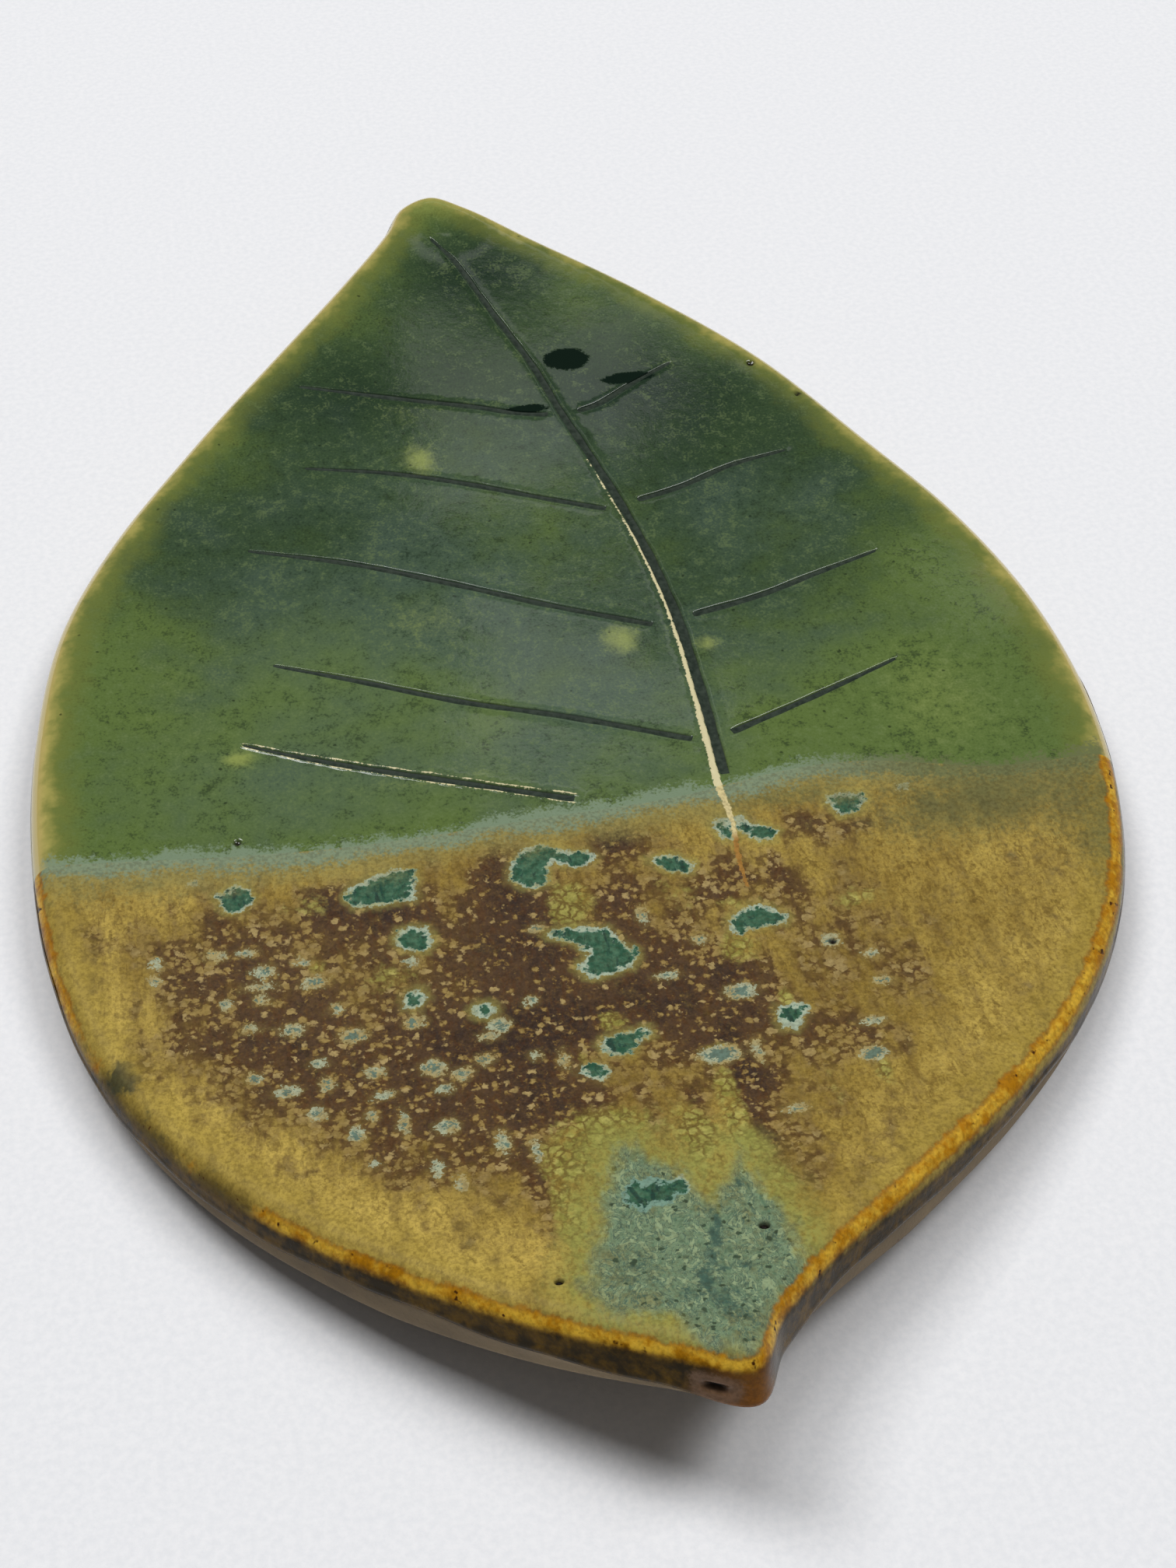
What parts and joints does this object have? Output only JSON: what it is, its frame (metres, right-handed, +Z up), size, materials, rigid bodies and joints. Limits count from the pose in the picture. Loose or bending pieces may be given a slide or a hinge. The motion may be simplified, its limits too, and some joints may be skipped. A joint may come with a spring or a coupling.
{
  "type": "leaf platter",
  "caption": "Leaf-shaped stoneware serving platter with lifted stem and tip, carved veins inlaid with dark glaze, and a green and an amber glaze over the top and rim.",
  "frame": {"origin": "on the table under the middle of the leaf's bounding box", "axes": "+Y from the stem end to the tip, +X to the right seen from above with the tip away, +Z up"},
  "size_m": [0.135, 0.2223, 0.0204],
  "materials": {
    "bare_clay": "matte",
    "green_glaze": "gloss",
    "amber_glaze": "satin",
    "vein_glaze": "gloss"
  },
  "bodies": {
    "root": {"stoneware_slab": "bare_clay", "green_glaze_coat": "green_glaze", "amber_glaze_coat": "amber_glaze", "midrib_glaze": "vein_glaze", "left_vein_glaze_1": "vein_glaze", "left_vein_glaze_2": "vein_glaze", "left_vein_glaze_3": "vein_glaze", "left_vein_glaze_4": "vein_glaze", "left_vein_glaze_5": "vein_glaze", "right_vein_glaze_1": "vein_glaze", "right_vein_glaze_2": "vein_glaze", "right_vein_glaze_3": "vein_glaze", "right_vein_glaze_4": "vein_glaze"}
  },
  "joints": []
}
